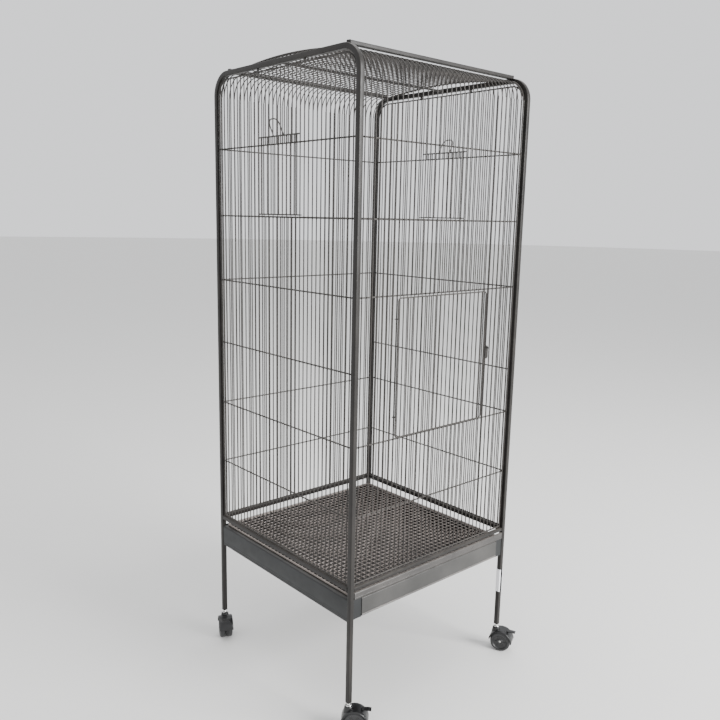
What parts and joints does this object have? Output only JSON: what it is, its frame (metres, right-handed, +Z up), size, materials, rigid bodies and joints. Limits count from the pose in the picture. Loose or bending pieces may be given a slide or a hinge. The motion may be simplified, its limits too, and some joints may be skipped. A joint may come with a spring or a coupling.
{
  "type": "bird cage on stand",
  "caption": "Tall square wire bird cage on a rolling stand, with a hinged front door, lift-up feeder doors, and a grate and tray that slide out.",
  "frame": {"origin": "centre of the overall box, on the floor under the wheels", "axes": "+Z up; the face with the main door, grate and tray is towards -Y; +X is to the right of someone who stands in front of it"},
  "size_m": [0.5252, 0.549, 1.306],
  "materials": {
    "black_coat": "charcoal powder coat",
    "black_wire": "charcoal powder coat",
    "grate_wire": "charcoal powder coat",
    "grey_sheet": "charcoal powder coat",
    "black_plastic": "moulded",
    "black_wheel": "moulded",
    "chrome_stem": "bright",
    "steel_axle": "bright",
    "paper": "matte"
  },
  "bodies": {
    "cage": {"left_side_frame": "black_coat", "right_side_frame": "black_coat", "front_top_bar": "black_coat", "rear_top_bar": "black_coat", "left_lower_rail": "black_coat", "right_lower_rail": "black_coat", "rear_lower_rail": "black_coat", "front_lower_bar": "black_coat", "roof_cross_rod": "black_coat", "left_side_panel": "black_wire", "right_side_panel": "black_wire", "front_panel": "black_wire", "rear_panel": "black_wire", "roof_panel": "black_wire", "left_skirt": "grey_sheet", "right_skirt": "grey_sheet", "rear_skirt": "grey_sheet", "left_front_bracket": "black_coat", "right_front_bracket": "black_coat", "leg_label": "paper"},
    "main_door": {"main_door": "black_wire"},
    "door_latch": {"door_latch": "black_coat"},
    "left_feeder_door": {"left_feeder_door": "black_wire"},
    "right_feeder_door": {"right_feeder_door": "black_wire"},
    "floor_grate": {"floor_grate": "grate_wire"},
    "tray": {"tray": "grey_sheet"},
    "caster_front_left": {"caster_stem_front_left": "chrome_stem", "caster_hood_front_left": "black_plastic", "caster_axle_front_left": "steel_axle"},
    "caster_front_right": {"caster_stem_front_right": "chrome_stem", "caster_hood_front_right": "black_plastic", "caster_axle_front_right": "steel_axle"},
    "caster_rear_left": {"caster_stem_rear_left": "chrome_stem", "caster_hood_rear_left": "black_plastic", "caster_axle_rear_left": "steel_axle"},
    "caster_rear_right": {"caster_stem_rear_right": "chrome_stem", "caster_hood_rear_right": "black_plastic", "caster_axle_rear_right": "steel_axle"},
    "wheel_left_front_left": {"caster_wheel_left_front_left": "black_wheel"},
    "wheel_right_front_left": {"caster_wheel_right_front_left": "black_wheel"},
    "wheel_left_front_right": {"caster_wheel_left_front_right": "black_wheel"},
    "wheel_right_front_right": {"caster_wheel_right_front_right": "black_wheel"},
    "wheel_left_rear_left": {"caster_wheel_left_rear_left": "black_wheel"},
    "wheel_right_rear_left": {"caster_wheel_right_rear_left": "black_wheel"},
    "wheel_left_rear_right": {"caster_wheel_left_rear_right": "black_wheel"},
    "wheel_right_rear_right": {"caster_wheel_right_rear_right": "black_wheel"},
    "brake_front_left": {"caster_brake_front_left": "black_plastic"},
    "brake_front_right": {"caster_brake_front_right": "black_plastic"}
  },
  "joints": [
    {"name": "main_door_hinge", "type": "hinge", "parent": "cage", "child": "main_door", "pos_m": [-0.127, -0.2285, 0.7201], "axis": [0, 0, -1], "range_deg": [0, 110]},
    {"name": "door_latch_turn", "type": "hinge", "parent": "cage", "child": "door_latch", "pos_m": [0.13335, -0.2285, 0.7201], "axis": [0, -1, 0], "range_deg": [0, 90]},
    {"name": "left_feeder_door_slide", "type": "slide", "parent": "cage", "child": "left_feeder_door", "axis": [0, 0, 1], "range_m": [0, 0.12]},
    {"name": "right_feeder_door_slide", "type": "slide", "parent": "cage", "child": "right_feeder_door", "axis": [0, 0, 1], "range_m": [0, 0.12]},
    {"name": "floor_grate_slide", "type": "slide", "parent": "cage", "child": "floor_grate", "axis": [0, -1, 0], "range_m": [0, 0.3]},
    {"name": "tray_slide", "type": "slide", "parent": "cage", "child": "tray", "axis": [0, -1, 0], "range_m": [0, 0.4]},
    {"name": "swivel_front_left", "type": "hinge", "parent": "cage", "child": "caster_front_left", "pos_m": [-0.231, -0.231, 0.05], "axis": [0, 0, 1], "continuous": true},
    {"name": "swivel_front_right", "type": "hinge", "parent": "cage", "child": "caster_front_right", "pos_m": [0.231, -0.231, 0.05], "axis": [0, 0, 1], "continuous": true},
    {"name": "swivel_rear_left", "type": "hinge", "parent": "cage", "child": "caster_rear_left", "pos_m": [-0.231, 0.231, 0.05], "axis": [0, 0, 1], "continuous": true},
    {"name": "swivel_rear_right", "type": "hinge", "parent": "cage", "child": "caster_rear_right", "pos_m": [0.231, 0.231, 0.05], "axis": [0, 0, 1], "continuous": true},
    {"name": "spin_left_front_left", "type": "hinge", "parent": "caster_front_left", "child": "wheel_left_front_left", "pos_m": [-0.22181, -0.24019, 0.0235], "axis": [0.7071, 0.7071, 0], "continuous": true},
    {"name": "spin_right_front_left", "type": "hinge", "parent": "caster_front_left", "child": "wheel_right_front_left", "pos_m": [-0.22181, -0.24019, 0.0235], "axis": [0.7071, 0.7071, 0], "continuous": true},
    {"name": "spin_left_front_right", "type": "hinge", "parent": "caster_front_right", "child": "wheel_left_front_right", "pos_m": [0.23649, -0.24278, 0.0235], "axis": [0.9063, 0.4226, 0], "continuous": true},
    {"name": "spin_right_front_right", "type": "hinge", "parent": "caster_front_right", "child": "wheel_right_front_right", "pos_m": [0.23649, -0.24278, 0.0235], "axis": [0.9063, 0.4226, 0], "continuous": true},
    {"name": "spin_left_rear_left", "type": "hinge", "parent": "caster_rear_left", "child": "wheel_left_rear_left", "pos_m": [-0.23649, 0.21922, 0.0235], "axis": [0.9063, -0.4226, 0], "continuous": true},
    {"name": "spin_right_rear_left", "type": "hinge", "parent": "caster_rear_left", "child": "wheel_right_rear_left", "pos_m": [-0.23649, 0.21922, 0.0235], "axis": [0.9063, -0.4226, 0], "continuous": true},
    {"name": "spin_left_rear_right", "type": "hinge", "parent": "caster_rear_right", "child": "wheel_left_rear_right", "pos_m": [0.23649, 0.24278, 0.0235], "axis": [-0.9063, 0.4226, 0], "continuous": true},
    {"name": "spin_right_rear_right", "type": "hinge", "parent": "caster_rear_right", "child": "wheel_right_rear_right", "pos_m": [0.23649, 0.24278, 0.0235], "axis": [-0.9063, 0.4226, 0], "continuous": true},
    {"name": "brake_turn_front_left", "type": "hinge", "parent": "caster_front_left", "child": "brake_front_left", "pos_m": [-0.21067, -0.25133, 0.0487], "axis": [0.7071, 0.7071, 0], "range_deg": [0, 20]},
    {"name": "brake_turn_front_right", "type": "hinge", "parent": "caster_front_right", "child": "brake_front_right", "pos_m": [0.24315, -0.25706, 0.0487], "axis": [0.9063, 0.4226, 0], "range_deg": [0, 20]}
  ]
}
